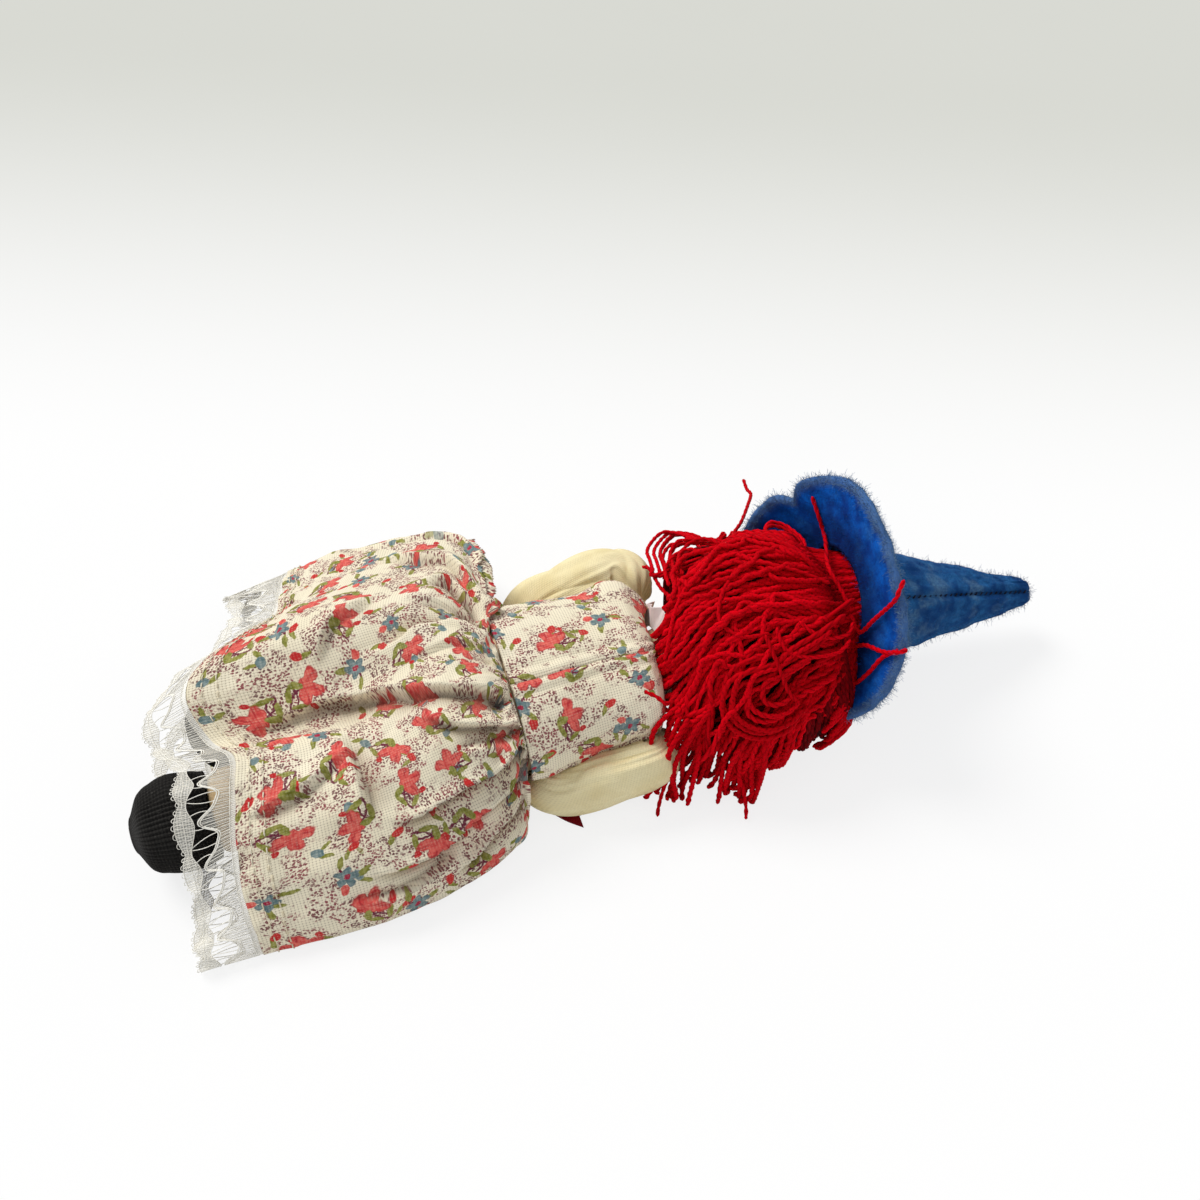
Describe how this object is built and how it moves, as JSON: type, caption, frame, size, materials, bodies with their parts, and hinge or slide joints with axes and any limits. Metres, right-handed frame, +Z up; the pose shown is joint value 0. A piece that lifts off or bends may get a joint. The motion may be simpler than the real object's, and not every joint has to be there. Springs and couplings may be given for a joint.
{
  "type": "witch doll",
  "caption": "Soft cloth witch doll lying face down: calico dress with lace hem, puff sleeves, yarn hair, felt pointed hat, jointed neck, arms and legs.",
  "frame": {"origin": "on the table under the middle of the lying doll, shoe to hat tip", "axes": "+X from the shoes to the tip of the hat, +Y to the left of the doll, +Z up from the table"},
  "size_m": [0.2542, 0.1318, 0.0626],
  "materials": {
    "body_cloth": "matte woven cotton",
    "leg_cloth": "matte woven cotton",
    "shoe_knit": "matte ribbed knit",
    "calico": "matte printed plain weave",
    "sleeve_cotton": "matte fine twill",
    "collar_cotton": "matte frill",
    "lace": "sheer matte lace",
    "ribbon_satin": "soft satin",
    "yarn": "matte twisted yarn",
    "felt": "fuzzy felt",
    "wadding": "matte",
    "eye_bead": "satin"
  },
  "bodies": {
    "torso": {"torso": "body_cloth", "bodice_back_left": "calico", "bodice_back_right": "calico", "bodice_front": "calico", "sleeve_left": "sleeve_cotton", "sleeve_right": "sleeve_cotton", "ribbon_knot": "ribbon_satin", "ribbon_loop_left": "ribbon_satin", "ribbon_loop_right": "ribbon_satin", "ribbon_tail_left": "ribbon_satin", "ribbon_tail_right": "ribbon_satin"},
    "neck": {"neck": "body_cloth", "collar": "collar_cotton"},
    "head": {"head": "body_cloth", "nose": "body_cloth", "eye_left": "eye_bead", "eye_right": "eye_bead", "hair_back": "yarn", "hair_left": "yarn", "hair_right": "yarn", "hat_cone": "felt", "hat_brim": "felt", "hat_stuffing": "wadding"},
    "arm_left": {"arm_left": "body_cloth"},
    "arm_right": {"arm_right": "body_cloth"},
    "lower_body": {"skirt": "calico", "lace_trim": "lace"},
    "leg_left": {"leg_left": "leg_cloth", "shoe_left": "shoe_knit"},
    "leg_right": {"leg_right": "leg_cloth", "shoe_right": "shoe_knit"}
  },
  "joints": [
    {"name": "head_turn", "type": "hinge", "parent": "torso", "child": "neck", "pos_m": [0.01239, -0.02417, 0.0255], "axis": [1, 0, 0], "range_deg": [-30, 30], "deforming": ["collar"]},
    {"name": "head_nod", "type": "hinge", "parent": "neck", "child": "head", "pos_m": [0.01539, -0.02417, 0.0245], "axis": [0, 1, 0], "range_deg": [-25, 10], "deforming": ["neck"]},
    {"name": "shoulder_left", "type": "hinge", "parent": "torso", "child": "arm_left", "pos_m": [0.01239, 0.00953, 0.0195], "axis": [0, 0, -1], "range_deg": [0, 75], "deforming": ["sleeve_left"]},
    {"name": "shoulder_right", "type": "hinge", "parent": "torso", "child": "arm_right", "pos_m": [0.00439, -0.04947, 0.0135], "axis": [0, 0, 1], "range_deg": [0, 75], "deforming": ["sleeve_right"]},
    {"name": "hip_fold", "type": "hinge", "parent": "torso", "child": "lower_body", "pos_m": [-0.04611, -0.02067, 0.015], "axis": [0, 1, 0], "range_deg": [-60, 30], "deforming": ["skirt", "lace_trim"]},
    {"name": "leg_spread_left", "type": "hinge", "parent": "lower_body", "child": "leg_left", "pos_m": [-0.04641, -0.00017, 0.015], "axis": [0, 0, -1], "range_deg": [0, 12]},
    {"name": "leg_spread_right", "type": "hinge", "parent": "lower_body", "child": "leg_right", "pos_m": [-0.04641, -0.04117, 0.015], "axis": [0, 0, 1], "range_deg": [0, 12]}
  ]
}
